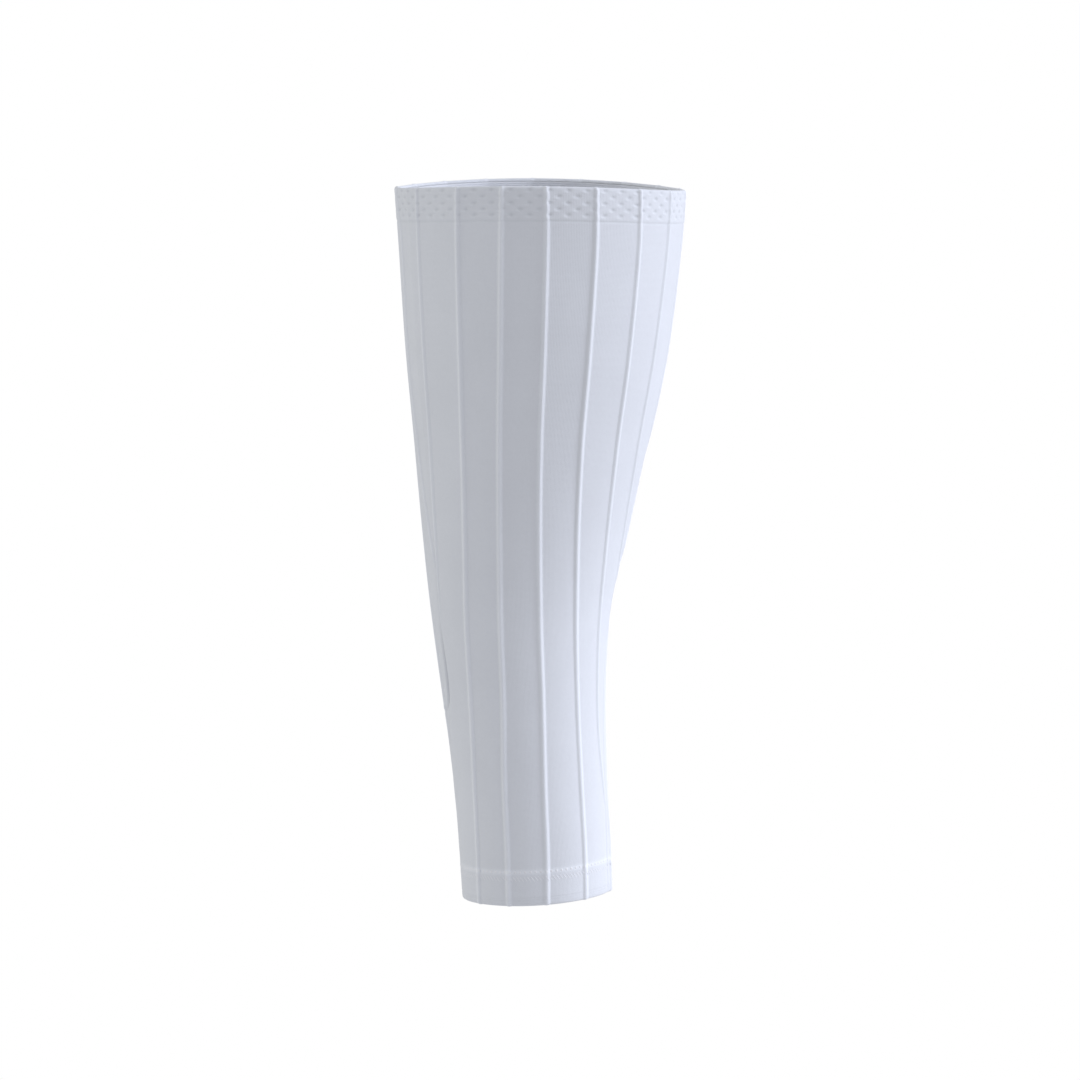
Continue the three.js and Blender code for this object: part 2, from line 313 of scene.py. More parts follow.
def skin(down, degrees, out=0.0, lift=0.0, tilt=0.0):
    """Points of the sleeve. A point of the oval, centre + half width * sin, -half depth * cos,
    stands at its share of the way from the top edge to the bottom edge. It is moved by out along
    the oval's normal, and by lift along that normal turned upwards by tilt, in radians."""
    centre, half_width, half_depth = section(down)
    side, front = np.sin(np.radians(degrees)), -np.cos(np.radians(degrees))
    across, ahead = side / half_width, front / half_depth
    size = np.hypot(across, ahead)
    away = out + lift * np.cos(tilt)
    top = BAND_DEPTH / 2 + TOP_RISE * front ** 2 + TOP_TILT * side
    bottom = BAND_DEPTH / 2 - SLEEVE_LENGTH - ANKLE_DIP * front ** 2 + ANKLE_TILT * side
    return np.stack([
        centre + half_width * side + away * across / size,
        half_depth * front + away * ahead / size,
        top + (bottom - top) * down + lift * np.sin(tilt),
    ], axis=-1)


def rib_degrees(panel, numbers, down):
    """Degrees of numbered ribs, along a new last axis: the panel's middle plus a rib's number,
    with the wander of the outer panel's ribs, times the pitch at that height."""
    down = np.asarray(down, float)
    pitch = RIB_PITCH * along(SECTIONS, "pitch", down) / per_degree(down)
    wander = np.zeros(down.shape + (len(numbers),))
    if panel is OUTER:
        for index, number in enumerate(numbers):
            if number in WANDERING_RIBS:
                wander[..., index] = along(RIB_WANDER, WANDERING_RIBS[number], down)
    middle = along(SECTIONS, panel.middle, down)
    return middle[..., None] + (numbers + wander) * pitch[..., None]


def seams_of(panel, down):
    """Degrees of a panel's two seams."""
    shin, calf = along(SECTIONS, "shin_seam", down), along(SECTIONS, "calf_seam", down)
    return (shin, calf) if panel is OUTER else (calf, shin + TURN)


# Where a point lies in the knit. rib counts the panel's ribs, with a fraction between two of them;
# share is that fraction, gap the distance of the two, side the distance to the nearer one,
# and seam the distance to the nearer seam.
Place = namedtuple("Place", "rib share gap side seam")


def place_in(panel, down, degrees):
    """The place of each point of one panel."""
    numbers = np.arange(panel.first_rib, panel.last_rib + 1)
    ribs = rib_degrees(panel, numbers, down)
    left = np.clip((ribs <= degrees[..., None]).sum(axis=-1) - 1, 0, len(numbers) - 2)[..., None]
    here = np.take_along_axis(ribs, left, -1)[..., 0]
    beyond = np.take_along_axis(ribs, left + 1, -1)[..., 0]
    share = (degrees - here) / (beyond - here)
    gap = (beyond - here) * per_degree(down)
    low, high = seams_of(panel, down)
    seam = np.minimum(degrees - low, high - degrees) * per_degree(down)
    side = np.minimum(share, 1 - share) * gap
    return Place(numbers[left[..., 0]] + share, share, gap, side, np.maximum(seam, 0))


def place_round(down, degrees):
    """The place of each point of a ring that runs under both panels."""
    shin, calf = seams_of(OUTER, down)
    turned = shin + (degrees - shin) % TURN
    outer, inner = place_in(OUTER, down, turned), place_in(INNER, down, turned)
    return Place(*(np.where(turned <= calf, a, b) for a, b in zip(outer, inner)))


def bell(distance, half):
    """A smooth hump of height 1 at no distance, down to 1/e at half."""
    return np.exp(-(distance / half) ** 2)


def taut(place, down):
    """How far the cloth lies inside the oval: part of the arc's height between two ribs, on a
    parabola that is nothing at the ribs, calmed near the seams."""
    _, half_width, half_depth = section(down)
    arc = place.gap ** 2 / (4 * (half_width + half_depth)) * (1 - bell(place.seam, SEAM_CALM))
    return -along(TAUT, "share", down) * arc * (1 - (2 * place.share - 1) ** 2)


def dot_distance(down, degrees):
    """Distances across and below from each point to the nearest silicone dot. The dots stand in
    rows at DOT_ROWS below the edge, DOTS_ROUND to a row, every other row half a step on."""
    below = down * SLEEVE_LENGTH
    rows = np.array(DOT_ROWS)
    row = np.abs(below[..., None] - rows).argmin(axis=-1)
    turns = degrees / TURN * DOTS_ROUND - DOT_PHASE - 0.5 * (row % 2)
    across = (turns - np.round(turns)) * TURN / DOTS_ROUND * per_degree(down)
    return across, below - rows[row]


def dimples_at(down, degrees):
    """The dimples in the band and the lip below each, as humps of height 1: bells of the distances
    across and below, the dimple's on a slope and the lip's set off from the dot."""
    across, lower = dot_distance(down, degrees)
    sloped = lower - DIMPLE_SLOPE * across
    dimple = bell(across, DIMPLE_HALF_WIDTH) * bell(sloped, DIMPLE_HALF_HEIGHT)
    lip = bell(across - LIP_ACROSS, DIMPLE_HALF_WIDTH) * bell(lower - LIP_BELOW, DIMPLE_HALF_HEIGHT)
    return dimple, lip


def crease_at(down, degrees):
    """The crease and the soft ridge on its shin side, as humps of at most 1: bells of the distance
    to the crease's line, square to that line, times the crease's share of its depth."""
    turned = (degrees + TURN / 2) % TURN - TURN / 2
    lean = along(CREASE, "line", down + CREASE_STEP) - along(CREASE, "line", down - CREASE_STEP)
    lean = lean * per_degree(down) / (2 * CREASE_STEP * SLEEVE_LENGTH)
    past = (turned - along(CREASE, "line", down)) * per_degree(down) / np.hypot(1, lean)
    creased = (down > CREASE["down"][0]) & (down < CREASE["down"][-1])
    depth = along(CREASE, "depth", down) * creased
    ridge = bell(past + CREASE_RIDGE_AWAY, CREASE_RIDGE_HALF)
    return depth * bell(past, CREASE_HALF), depth * ridge


def relief(place, down, degrees, knit):
    """Height of the knit's outer face over its base, and how much lighter or darker its colour is
    made:
    half-round ribs, narrower and swaying in the band, which fade out at the seams; the puffed band
    with its lower groove and its dimples, each with a lip below; the hem's ridge and the fine lines
    at the edge; the seam's groove and the crease. The colour gets painted shade in the dimples, the
    grooves, the fine lines and the crease, painted highlights on the lips and the hem's ridge, and
    on the ribs a lighter yarn with a painted highlight on their crests."""
    below, above = down * SLEEVE_LENGTH, (1 - down) * SLEEVE_LENGTH
    in_band = 1 / (1 + np.exp((below - BAND_DEPTH + BAND_GROOVE_HALF) / BAND_SOFT_END))
    to_rib = np.where(place.share < 0.5, place.share, place.share - 1) * place.gap
    wave = 2 * math.pi * below / (DOT_ROWS[2] - DOT_ROWS[0]) + BAND_RIB_PHASE * place.rib
    to_rib = to_rib + BAND_RIB_SWAY * np.sin(wave) * in_band
    half_rib = knit.rib_width / 2 * (1 - (1 - BAND_RIB_SHARE) * in_band)
    rib = np.clip(1 - (to_rib / half_rib) ** 2, 0, None) ** RIB_ROUNDNESS
    rib *= 1 - bell(place.seam, RIB_FADE_AT_SEAM)
    free = in_band * (1 - DIMPLE_LOST_ON_RIB * rib)
    dimple, lip = (hump * free for hump in dimples_at(down, degrees))
    band_line = bell(below - BAND_DEPTH, BAND_GROOVE_HALF)
    ridge = bell(above - STITCH_ROWS[0], HEM_RIDGE_HALF)
    lines = sum(bell(above - line, EDGE_LINE_HALF) for line in EDGE_LINES)
    side = np.where(np.sin(np.radians(degrees)) < 0,
                    along(SEAM_LOOK, "shin", down), along(SEAM_LOOK, "calf", down))
    groove = side * bell(place.seam, SEAM_GROOVE_HALF)
    crease, fold = crease_at(down, degrees)
    height = (knit.rib_height * rib + BAND_PUFF * in_band - BAND_GROOVE * band_line
              - DIMPLE_DEPTH * dimple + LIP_HEIGHT * lip + HEM_RIDGE * ridge
              - EDGE_LINE_DEPTH * lines - SEAM_GROOVE * groove
              - CREASE_DEPTH * crease + CREASE_RIDGE * fold)
    # Painted shade in the dimples, grooves, fine lines and crease, painted highlights on the lips
    # and the hem's ridge, lighter yarn and a painted highlight on the ribs
    tone = (RIB_YARN_AND_HIGHLIGHT * rib + DIMPLE_SHADE * dimple + LIP_HIGHLIGHT * lip + HEM_RIDGE_HIGHLIGHT * ridge
            + BAND_GROOVE_SHADE * band_line + SEAM_GROOVE_SHADE * groove
            + EDGE_LINE_SHADE * lines + CREASE_SHADE * crease)
    return height, tone


# ---------------- grids and meshes

def grid_triangles(index, wrap_rows=False, wrap_columns=False):
    """Two triangles to each cell of a grid of point numbers. A wrapped side joins its other end.
    Cells that have shrunk to a line or a point give none."""
    if wrap_rows:
        index = np.concatenate([index, index[:1]], axis=0)
    if wrap_columns:
        index = np.concatenate([index, index[:, :1]], axis=1)
    a, b, c, d = index[:-1, :-1], index[1:, :-1], index[1:, 1:], index[:-1, 1:]
    return whole(np.concatenate([np.stack([a, b, c], -1).reshape(-1, 3),
                                 np.stack([a, c, d], -1).reshape(-1, 3)]))


def whole(triangles):
    """The triangles that have three different corners."""
    one, two, three = triangles.T
    return triangles[(one != two) & (two != three) & (three != one)]


def closed_tube(rings, sides):
    """Triangles of a tube whose first and last rings have shrunk to one point each."""
    index = np.arange(rings * sides).reshape(rings, sides)
    index[0], index[-1] = index[0, 0], index[-1, 0]
    return grid_triangles(index, wrap_columns=True)


def zip_edges(one, two, at_one, at_two):
    """Triangles between two rows of point numbers that run side by side with different counts:
    each step goes on along the row that lags behind, by how far along the points stand."""
    on_one = np.arange(len(one) + len(two) - 2) < len(one) - 1
    on_one = on_one[np.argsort(np.concatenate([at_one[1:], at_two[1:]]), kind="stable")]
    i, j = np.cumsum(on_one) - on_one, np.cumsum(~on_one) - ~on_one
    next_one, next_two = np.minimum(i + 1, len(one) - 1), np.minimum(j + 1, len(two) - 1)
    return np.stack([one[i], two[j], np.where(on_one, one[next_one], two[next_two])], -1)


def add_piece(name, points, triangles, cloth, material, tone=None, corners=()):
    """A mesh object in the frame's metres, with a UV map in metres along its cloth and a value at
    each vertex of how much lighter or darker its colour is made there: painted shade, painted
    highlights and the ribs' lighter yarn. Edges between the numbered corners are sharp, and all the
    others are smooth."""
    used, triangles = np.unique(triangles, return_inverse=True)
    triangles = triangles.reshape(-1, 3)
    points, cloth = points[used], cloth[used]
    mesh = bpy.data.meshes.new(name)
    mesh.vertices.add(len(points))
    mesh.vertices.foreach_set("co", points.ravel())
    mesh.loops.add(triangles.size)
    mesh.loops.foreach_set("vertex_index", triangles.ravel())
    mesh.polygons.add(len(triangles))
    mesh.polygons.foreach_set("loop_start", np.arange(0, triangles.size, 3))
    mesh.polygons.foreach_set("use_smooth", np.ones(len(triangles), bool))
    mesh.update(calc_edges=True)
    layer = mesh.uv_layers.new(name="cloth")
    layer.data.foreach_set("uv", cloth[triangles.ravel()].ravel())
    if tone is not None:
        mesh.attributes.new("tone", "FLOAT", "POINT").data.foreach_set("value", tone[used])
    if len(corners):
        ends = np.empty(len(mesh.edges) * 2, int)
        mesh.edges.foreach_get("vertices", ends)
        sharp = np.isin(used, corners)[ends].reshape(-1, 2).all(axis=1)
        mesh.attributes.new("sharp_edge", "BOOLEAN", "EDGE").data.foreach_set("value", sharp)
    mesh.materials.append(material)
    mesh.validate()
    piece = bpy.data.objects.new(name, mesh)
    bpy.context.scene.collection.objects.link(piece)
    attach(piece, BODY)
    return piece


Rows = namedtuple("Rows", "down out tilt")


def rolled(radius, below):
    """Rows of an edge that rolls inwards on a half circle: from inside over the edge to outside,
    or, where below is true, from outside under the edge to inside."""
    turn = np.linspace(math.pi, 0, ROLL_STEPS)
    drop, out = radius * (1 - np.sin(turn)) / SLEEVE_LENGTH, -radius * (1 - np.cos(turn))
    if below:
        return Rows(1 - drop[::-1], out[::-1], -turn[::-1])
    return Rows(drop, out, turn)


def face_rows():
    """Rows of a panel's outer skin from inside its top edge, down its face, to inside its bottom
    edge, closest where the dimples, the crease and the hem are."""
    top = rolled((KNIT_WALL + LAYER_GAP + BAND_WALL) / 2, False)
    bottom = rolled((KNIT_WALL + LAYER_GAP + HEM_WALL) / 2, True)
    band_end = (BAND_DEPTH + FINE_PAST_BAND) / SLEEVE_LENGTH
    crease_start, crease_end = CREASE["down"][2], CREASE["down"][-1]
    hem_start = 1 - (HEM_DEPTH + FINE_PAST_HEM) / SLEEVE_LENGTH
    spans = [(top.down[-1], band_end, BAND_ROW), (band_end, crease_start, BODY_ROW),
             (crease_start, crease_end, CREASE_ROW), (crease_end, hem_start, BODY_ROW),
             (hem_start, bottom.down[0], HEM_ROW)]
    face = [np.linspace(start, end, round((end - start) * SLEEVE_LENGTH / step) + 1)[1:]
            for start, end, step in spans]
    down = np.concatenate(face)[:-1]
    flat = np.zeros(len(down))
    return Rows(*(np.concatenate(parts) for parts in zip(top, (down, flat, flat), bottom)))


def held_between(panel, rib, down):
    """Rib coordinates held between a panel's seams, and the degrees they stand at."""
    numbers = np.arange(panel.first_rib, panel.last_rib + 1)
    ribs = rib_degrees(panel, numbers, down)
    low, high = (place_in(panel, down, edge).rib for edge in seams_of(panel, down))
    held = np.clip(rib[None, :], low[:, None], high[:, None])
    left = np.clip(np.floor(held - panel.first_rib).astype(int), 0, len(numbers) - 2)
    here = np.take_along_axis(ribs, left, 1)
    beyond = np.take_along_axis(ribs, left + 1, 1)
    return held, here + (beyond - here) * (held - numbers[left])


Skin = namedtuple("Skin", "points triangles cloth tone border")


def panel_skin(panel, rib, rows, knit=None):
    """One skin of a panel. Its columns follow the ribs, and those that run into a seam end there.
    With a knit it gets the outer face's relief, which fades out where an edge rolls inwards."""
    held, degrees = held_between(panel, rib, rows.down)
    down = np.broadcast_to(rows.down[:, None], degrees.shape)
    place = place_in(panel, down, degrees)
    height = tone = np.zeros(down.shape)
    if knit is not None:
        height, tone = relief(place, down, degrees, knit)
        height = height * np.clip(np.cos(rows.tilt), 0, None)[:, None]
    points = skin(down, degrees, rows.out[:, None] + taut(place, down), height, rows.tilt[:, None])
    index = np.arange(degrees.size).reshape(degrees.shape)
    first = (held <= held[:, :1]).sum(axis=1) - 1
    last = len(rib) - (held >= held[:, -1:]).sum(axis=1)
    column = np.clip(np.arange(len(rib))[None, :], first[:, None], last[:, None])
    index = np.take_along_axis(index, column, 1)
    cloth = np.stack([held * RIB_PITCH * CLOTH_PITCH_SHARE, -down * SLEEVE_LENGTH], -1)
    return Skin(points.reshape(-1, 3), grid_triangles(index), cloth.reshape(-1, 2),
                tone.ravel(), index)


def build_panel(panel, knit, material):
    """A panel: its detailed outer skin, a plainer inner skin, and the four edges zipped up."""
    numbers = np.arange(panel.first_rib, panel.last_rib)
    rib = (numbers[:, None] + np.concatenate([RIB_STEPS, BETWEEN_STEPS])[None, :]).ravel()
    rib = rib[(rib > panel.first_rib) & (rib < panel.last_rib)]
    rows = face_rows()
    outside = panel_skin(panel, rib, rows, knit)
    lining_rib = np.linspace(rib[0], rib[-1], len(numbers) * LINING_COLUMNS)
    lining_down = np.linspace(rows.down[0], rows.down[-1], LINING_ROWS)
    lining_rows = Rows(lining_down, np.full(LINING_ROWS, -KNIT_WALL), np.zeros(LINING_ROWS))
    inside = panel_skin(panel, lining_rib, lining_rows)
    shift = len(outside.points)
    outer, inner = outside.border, inside.border + shift
    face_down = np.maximum.accumulate(rows.down)
    edges = np.concatenate([
        zip_edges(inner[:, 0], outer[:, 0], lining_down, face_down),
        zip_edges(outer[:, -1], inner[:, -1], face_down, lining_down),
        zip_edges(outer[0], inner[0], rib, lining_rib),
        zip_edges(inner[-1], outer[-1], lining_rib, rib)])
    triangles = np.concatenate([outside.triangles, inside.triangles[:, ::-1] + shift, whole(edges)])
    points, cloth, tone = (np.concatenate([getattr(outside, part), getattr(inside, part)])
                           for part in ("points", "cloth", "tone"))
    seam_edges = np.concatenate([outer[:, 0], outer[:, -1], inner[:, 0], inner[:, -1]])
    piece = add_piece(panel.name, points, triangles, cloth, material, tone, seam_edges)
    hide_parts(panel.node)


def loop_rows(start, end, wall):
    """Rows all the way round the wall of a ring, from its top edge down its outer face and up its
    inner face, with both edges rounded on half ovals."""
    radius = wall / 2
    turn = np.linspace(0, math.pi, RING_EDGE_STEPS)[1:-1]
    count = round((end - start) / RING_ROW)
    straight = np.linspace(start + EDGE_ROUND, end - EDGE_ROUND, count)
    down = np.concatenate([straight, end - EDGE_ROUND + EDGE_ROUND * np.sin(turn),
                           straight[::-1], start + EDGE_ROUND - EDGE_ROUND * np.sin(turn)])
    out = np.concatenate([np.zeros(count), -radius * (1 - np.cos(turn)),
                          np.full(count, -wall), -radius * (1 + np.cos(turn))])
    return down / SLEEVE_LENGTH, out


def build_ring(name, node, span, wall, columns, material):
    """A ring of cloth one gap inside the knit, which follows the knit's taut cloth. Its UV map
    runs both ways from the middle of the hidden side, so that it closes without a step."""
    down, out = loop_rows(*span, wall)
    degrees = np.linspace(0, TURN, columns, endpoint=False)
    down, degrees = np.meshgrid(down, degrees, indexing="ij")
    out = np.broadcast_to(out[:, None], down.shape) - KNIT_WALL - LAYER_GAP
    place = place_round(down, degrees)
    points = skin(down, degrees, out + taut(place, down))
    index = np.arange(down.size).reshape(down.shape)
    across = np.abs(degrees - TURN / 2) * per_degree(down)
    cloth = np.stack([across, out - down * SLEEVE_LENGTH], -1)
    piece = add_piece(name, points.reshape(-1, 3), grid_triangles(index, True, True),
                      cloth.reshape(-1, 2), material, np.zeros(down.size))
    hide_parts(node)
    return piece


def declare_panel(panel, allowance):
    """Works out a panel's cut width from its worn width, and its area, and keeps neither."""
    down = np.linspace(0, 1, MEASURED_ROWS)
    low, high = seams_of(panel, down)
    width = RELAXED_WIDTH * (high - low) * per_degree(down)
    float(width.mean() * SLEEVE_LENGTH)


def declare_ring(span):
    """Works out a ring's girth at its top edge and its depth, and keeps neither."""
    girth = TURN * float(per_degree(span[0] / SLEEVE_LENGTH))
    span[1] - span[0]


def surface_frame(down, degrees, lift):
    """Points of the outer face with unit vectors round the leg, up it and out of it, from the
    points a small step to each side."""
    place = place_round(down, degrees)
    away = taut(place, down) + lift(place, down, degrees)
    point = skin(down, degrees, away)
    round_leg = skin(down, degrees + FRAME_TURN, away) - skin(down, degrees - FRAME_TURN, away)
    up_leg = skin(down - FRAME_DROP, degrees, away) - skin(down + FRAME_DROP, degrees, away)
    round_leg /= np.linalg.norm(round_leg, axis=-1, keepdims=True)
    up_leg /= np.linalg.norm(up_leg, axis=-1, keepdims=True)
    return point, round_leg, up_leg, np.cross(round_leg, up_leg)


def build_beads(name, frames, sizes, slant, sides, material):
    """Many small rounded beads, each an ellipsoid of half sizes (round, up, out) at one of the
    given places, turned by slant degrees in the plane of the cloth."""
    point, round_leg, up_leg, out = frames
    turn = np.radians(slant)
    along_bead = np.cos(turn) * round_leg + np.sin(turn) * up_leg
    across_bead = np.cos(turn) * up_leg - np.sin(turn) * round_leg
    ring = np.linspace(0, math.pi, BEAD_RINGS)[:, None]
    round_bead = np.linspace(0, 2 * math.pi, sides, endpoint=False)
    ball = (np.cos(ring) * np.ones(sides), np.sin(ring) * np.cos(round_bead),
            np.sin(ring) * np.sin(round_bead))
    points = point[:, None, None] + sum(
        axis[None, ..., None] * size * direction[:, None, None]
        for axis, size, direction in zip(ball, sizes, (along_bead, across_bead, out)))
    one = closed_tube(BEAD_RINGS, sides)[:, ::-1]
    shift = np.arange(len(point)) * BEAD_RINGS * sides
    triangles = (one[None] + shift[:, None, None]).reshape(-1, 3)
    cloth = np.stack([ball[0] * sizes[0], ball[1] * sizes[1]], -1)
    cloth = np.broadcast_to(cloth[None], points.shape[:3] + (2,))
    return add_piece(name, points.reshape(-1, 3), triangles, cloth.reshape(-1, 2), material)


def build_stitches(name, row, pitch, slant, sizes, knit, thread):
    """A row of stitches round the hem, each a bead laid on the knit's outer face."""
    count = round(TURN * float(per_degree(1.0)) / pitch)
    down, degrees = np.full(count, 1 - row / SLEEVE_LENGTH), np.arange(count) / count * TURN
    frames = surface_frame(down, degrees, lambda *at: relief(*at, knit)[0] - STITCHES_SUNK)
    return build_beads(name, frames, sizes, slant, STITCH_SIDES, thread)


def build_allowance(name, column, thread):
    """The overlocked allowance inside a seam: a flat tube with rounded sides, closed over a short
    way at both ends, which swells and sinks in a cosine where the loops of its thread slant."""
    start = (BAND_DEPTH + LAYER_GAP) / SLEEVE_LENGTH
    end = 1 - (HEM_DEPTH + LAYER_GAP) / SLEEVE_LENGTH
    turn = np.linspace(0, 2 * math.pi, ALLOWANCE_SIDES, endpoint=False)
    side, thick = (np.sign(wave) * np.abs(wave) ** ALLOWANCE_ROUNDING
                   for wave in (np.cos(turn), np.sin(turn)))
    down = np.linspace(start, end, ALLOWANCE_ROWS)[:, None] * np.ones(ALLOWANCE_SIDES)
    loops = np.cos(2 * math.pi * (down * SLEEVE_LENGTH / LOOP_PITCH + LOOP_SLANT * side))
    to_end = np.minimum(down - start, end - down) * SLEEVE_LENGTH
    closing = np.minimum(1, to_end / ALLOWANCE_END) ** 0.5
    half_width = SEAM_WIDTH / 2 - ALLOWANCE_SIDE_ROOM
    half_wall = SEAM_WALL / 2 - ALLOWANCE_FACE_ROOM + LOOP_RISE * loops
    degrees = along(SECTIONS, column, down) + side * closing * half_width / per_degree(down)
    out = thick * closing * half_wall - KNIT_WALL - LAYER_GAP - SEAM_WALL / 2
    cloth = np.stack(np.broadcast_arrays(side * SEAM_WIDTH / 2, down * SLEEVE_LENGTH), -1)
    piece = add_piece(name, skin(down, degrees, out).reshape(-1, 3),
                      closed_tube(ALLOWANCE_ROWS, ALLOWANCE_SIDES), cloth.reshape(-1, 2),
                      thread)
    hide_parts(column)
    return piece


# ---------------- finishes

class Signal:
    """A node's output. Sums and products of signals and numbers add Math nodes."""

    def __init__(self, paint, socket):
        self.paint = paint
        self.socket = socket

    def math(self, operation, *values):
        return self.paint.node("ShaderNodeMath", {"operation": operation}, dict(enumerate(values)))

    def __add__(self, other):
        return self.math("ADD", self, other)

    def __radd__(self, other):
        return self.math("ADD", other, self)

    def __sub__(self, other):
        return self.math("SUBTRACT", self, other)

    def __rsub__(self, other):
        return self.math("SUBTRACT", other, self)

    def __mul__(self, other):
        return self.math("MULTIPLY", self, other)

    def __rmul__(self, other):
        return self.math("MULTIPLY", other, self)

    def wave(self, turns):
        """A cosine of the signal, between -1 and 1, that repeats turns times in one unit."""
        return self.math("COSINE", self * (2 * math.pi * turns))

    def zigzag(self, width):
        """How far the signal is from the nearest whole number of widths, from 0 to width / 2."""
        return self.math("PINGPONG", self, width / 2)


class Paint:
    """A material under construction on a Principled surface."""

    def __init__(self, name):
        self.material = bpy.data.materials.new(name)
        self.material.use_nodes = True
        self.tree = self.material.node_tree
        self.surface = self.tree.nodes["Principled BSDF"]

    def node(self, kind, settings=None, inputs=None, output=0):
        """A node with its settings, then the numbers or signals of its sockets."""
        node = self.tree.nodes.new(kind)
        for name, value in (settings or {}).items():
            setattr(node, name, value)
        for key, value in (inputs or {}).items():
            self.feed(node.inputs[key], value)
        return Signal(self, node.outputs[output])

    def feed(self, socket, value):
        if isinstance(value, Signal):
            self.tree.links.new(value.socket, socket)
        else:
            socket.default_value = value

    def cloth(self):
        """Metres across and along the cloth, from the piece's UV map."""
        place = self.node("ShaderNodeUVMap", {"uv_map": "cloth"})
        parts = self.node("ShaderNodeSeparateXYZ", inputs={0: place})
        return parts, Signal(self, parts.socket.node.outputs[1])

    def noise(self, scale, detail):
        """Soft noise on Object coordinates, with that many waves to a metre."""
        place = self.node("ShaderNodeTexCoord", output="Object")
        return self.node("ShaderNodeTexNoise",
                         inputs={"Vector": place, "Scale": scale, "Detail": detail})

    def shades(self, share, colour, darkest, lightest):
        """A colour between its darkest and its lightest shade, each a multiple of it."""
        dark, light = (tuple(channel * times for channel in colour) + (1.0,)
                       for times in (darkest, lightest))
        return self.node("ShaderNodeMix", {"data_type": "RGBA"}, {0: share, 6: dark, 7: light}, 2)

    def finish(self, height, depth, **surface):
        """Sets the surface's sockets and puts the height, in depths of metres, into its normal."""
        normal = self.node("ShaderNodeBump",
                           inputs={"Height": height, "Distance": depth, "Strength": 1.0})
        self.feed(self.surface.inputs["Normal"], normal)
        for name, value in surface.items():
            self.feed(self.surface.inputs[name.replace("_", " ")], value)
        return self.material


def knit_finish(name, knit):
    """Plain knit: columns of small V stitches. A stitch's height is a cosine over the courses,
    which slant up on one half of each column and down on the other, under a groove between
    columns; soft noise makes the yarn uneven."""
    paint = Paint(name)
    across, length = paint.cloth()
    course = length + across.zigzag(knit.wale) * COURSE_SLANT
    stitch = course.wave(1 / knit.course) * STITCH_SHARE
    column = across.wave(1 / knit.wale) * COLUMN_SHARE
    fuzz = paint.noise(scale=2500, detail=2) * FUZZ_SHARE
    # The mesh's painted shade and painted highlights, with the ribs' lighter yarn, shift the knit's
    # colour
    tone = paint.node("ShaderNodeAttribute", {"attribute_name": "tone"}, output="Fac")
    patches, specks = paint.noise(scale=45, detail=3), paint.noise(scale=700, detail=2)
    uneven = patches * 0.6 + specks * 0.4 - 0.5
    share = tone * (0.5 / TONE_REACH) + uneven * UNEVEN_SHARE + 0.5
    base = paint.shades(share, tuple(knit.colour), 1 - TONE_REACH, 1 + TONE_REACH)
    return paint.finish(stitch + column + fuzz, KNIT_BUMP, Base_Color=base,
                        Roughness=0.92, Sheen_Weight=0.1, Sheen_Roughness=0.6)


def elastic_finish(name, colour):
    """Close woven elastic: fine cords across the band and finer threads along it."""
    paint = Paint(name)
    across, length = paint.cloth()
    cords, weft = length.wave(1 / CORD_PITCH), across.wave(1 / WEFT_PITCH)
    uneven = paint.noise(scale=120, detail=3)
    base = paint.shades(uneven, colour, darkest=0.95, lightest=1.03)
    return paint.finish(cords * 0.6 + weft * 0.4, ELASTIC_BUMP, Base_Color=base,
                        Roughness=0.7, Sheen_Weight=0.1)


def silicone_finish(name, colour):
    """Clear soft silicone over white cloth: smooth, faintly cloudy and glossy."""
    paint = Paint(name)
    cloudy = paint.noise(scale=900, detail=2)
    base = paint.shades(cloudy, colour, darkest=0.97, lightest=1.03)
    return paint.finish(cloudy, SILICONE_BUMP, Base_Color=base, Roughness=0.28, IOR=1.42,
                        Coat_Weight=0.3, Coat_Roughness=0.2)


def thread_finish(name, colour):
    """Two-ply sewing thread: a slanting twist along each stitch."""
    paint = Paint(name)
    across, length = paint.cloth()
    twist = (across + length).wave(1 / PLY_PITCH)
    uneven = paint.noise(scale=1500, detail=2)
    base = paint.shades(uneven, colour, darkest=0.95, lightest=1.04)
    return paint.finish(twist, THREAD_BUMP, Base_Color=base, Roughness=0.6, Sheen_Weight=0.15)


# ---------------- what a user may change

def length_of(name, description, default):
    return bpy.props.FloatProperty(name=name, description=description, default=default,
                                   min=0.0, unit="LENGTH", precision=5)


def colour_of(name, description, default):
    return bpy.props.FloatVectorProperty(name=name, description=description, default=default,
                                         size=3, min=0.0, max=1.0, subtype="COLOR")


def strength_of(name, description, default, unit="NONE"):
    return bpy.props.FloatProperty(name=name, description=description, default=default,
                                   min=0.0, unit=unit)


class SleeveKnit(bpy.types.PropertyGroup):
    """The ribbed knit"""
    rib_width: length_of("Rib Width", "Width of a raised rib at its foot", 3 * MM)
    rib_height: length_of("Rib Height", "Height of a raised rib over the knit", 0.62 * MM)
    wale: length_of("Stitch Column", "Width of one column of stitches", 0.6 * MM)
    course: length_of("Stitch Course", "Height of one course of stitches", 0.5 * MM)
    colour: colour_of("Knit Colour", "Colour of the knit", (0.81, 0.835, 0.89))


class SleeveTrim(bpy.types.PropertyGroup):
    """The grip band, the hem and the seams"""
    dot_width: length_of("Dot Width", "Width of a silicone dot", 2.6 * MM)
    dot_height: length_of("Dot Height", "Height of a silicone dot over the band", 0.5 * MM)
    stitch_pitch: length_of("Stitch Pitch", "Distance between two stitches of the hem", 2.2 * MM)
    thread_width: length_of("Thread Width", "Width of the sewing thread", 0.4 * MM)
    band_colour: colour_of("Band Colour", "Colour of the elastic band", (0.82, 0.84, 0.89))
    dot_colour: colour_of("Dot Colour", "Colour of the silicone dots", (0.92, 0.93, 0.96))
    thread_colour: colour_of("Thread Colour", "Colour of the sewing thread", (0.9, 0.91, 0.955))


